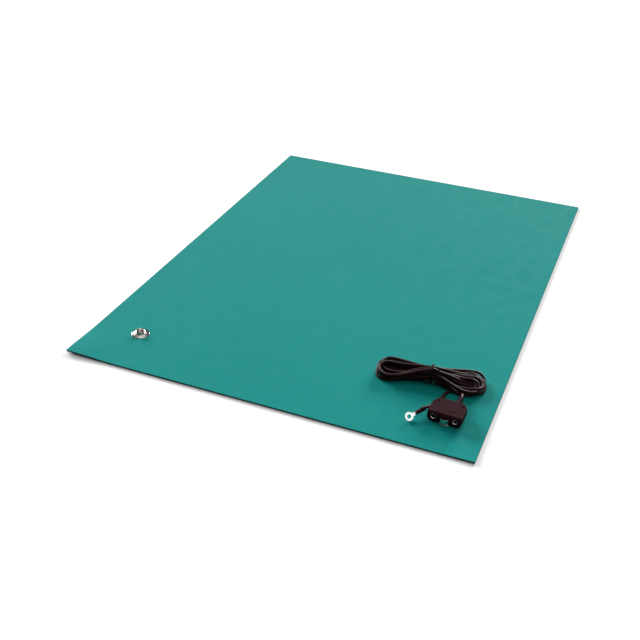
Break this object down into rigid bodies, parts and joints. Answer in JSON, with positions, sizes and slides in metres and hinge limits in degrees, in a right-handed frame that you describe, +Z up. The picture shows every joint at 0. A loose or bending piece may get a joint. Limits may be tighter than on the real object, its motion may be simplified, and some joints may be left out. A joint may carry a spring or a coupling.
{
  "type": "anti-static bench mat",
  "caption": "Thin two-layer rubber bench mat with a riveted snap stud near one corner and its bundled earthing cord, socket block and ring terminal lying on it.",
  "frame": {"origin": "middle of the mat's underside, on the bench", "axes": "+X to the right along the front edge, +Y away from the user along the mat's long side, +Z up out of the green face"},
  "size_m": [0.45, 0.6, 0.0207],
  "materials": {
    "green_rubber": "matt, finely textured",
    "black_rubber": "matt",
    "nickel": "bright nickel plate",
    "tinned": "bright tin plate",
    "black_plastic": "satin",
    "black_cord": "satin"
  },
  "bodies": {
    "root": {"mat_base_layer": "black_rubber", "mat_top_layer": "green_rubber", "snap_stud": "nickel", "snap_eyelet": "nickel", "block_housing": "black_plastic", "jack_sleeve_left": "nickel", "jack_sleeve_right": "nickel", "snap_socket": "nickel", "strain_relief": "black_plastic", "cord_to_block": "black_cord", "cord_hank": "black_cord", "cord_to_ring": "black_cord", "hank_tie": "black_plastic", "terminal_sleeve": "black_plastic", "ring_terminal": "tinned"}
  },
  "joints": []
}
